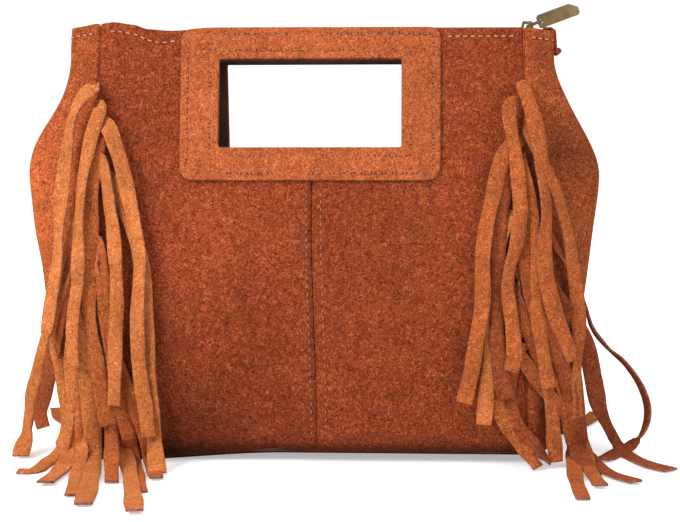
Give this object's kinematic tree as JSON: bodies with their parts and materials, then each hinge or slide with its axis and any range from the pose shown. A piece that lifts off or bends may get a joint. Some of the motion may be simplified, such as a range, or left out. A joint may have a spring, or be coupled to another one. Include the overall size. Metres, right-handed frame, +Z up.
{
  "type": "fringed suede handbag",
  "caption": "Suede handbag with a rectangular hand opening through front and back, sewn-on handle frames, long cut fringes in the side seams and a top zip with a flat pull.",
  "frame": {"origin": "middle of the underside of the base, on the floor", "axes": "+X across the bag, to the right as one looks at its front; -Y out of the front; +Z up"},
  "size_m": [0.3922, 0.2602, 0.2401],
  "materials": {
    "panel_suede": "napped",
    "gusset_suede": "napped",
    "frame_suede": "napped",
    "facing_suede": "napped",
    "fringe_suede": "napped",
    "lining_cloth": "woven",
    "base_board": "matte",
    "zip_tape": "woven",
    "zip_metal": "antique"
  },
  "bodies": {
    "bag": {"front_panel_left": "panel_suede", "front_panel_right": "panel_suede", "back_panel_left": "panel_suede", "back_panel_right": "panel_suede", "gusset_left": "gusset_suede", "gusset_right": "gusset_suede", "base_panel": "panel_suede", "base_board": "base_board", "lining": "lining_cloth", "handle_frame_front": "frame_suede", "handle_frame_back": "frame_suede", "handle_facing_front": "facing_suede", "handle_facing_back": "facing_suede", "fringe_front_left": "fringe_suede", "fringe_front_right": "fringe_suede", "fringe_back_left": "fringe_suede", "fringe_back_right": "fringe_suede", "zip_tape_front": "zip_tape", "zip_tape_back": "zip_tape", "zip_teeth_front": "zip_metal", "zip_teeth_back": "zip_metal", "zip_stop_open": "zip_metal", "zip_stop_closed": "zip_metal", "zip_tail": "zip_tape"},
    "slider": {"zip_slider": "zip_metal"},
    "link": {"zip_link": "zip_metal"},
    "pull": {"zip_pull": "zip_metal"}
  },
  "joints": [
    {"name": "zip_slide", "type": "slide", "parent": "bag", "child": "slider", "axis": [1, 0, 0], "range_m": [-0.214, 0]},
    {"name": "link_hinge", "type": "hinge", "parent": "slider", "child": "link", "pos_m": [0.1149, 0, 0.22855], "axis": [0, -1, 0], "range_deg": [0, 110]},
    {"name": "pull_hinge", "type": "hinge", "parent": "link", "child": "pull", "pos_m": [0.12195, 0, 0.23112], "axis": [0, -1, 0], "range_deg": [0, 45]}
  ]
}
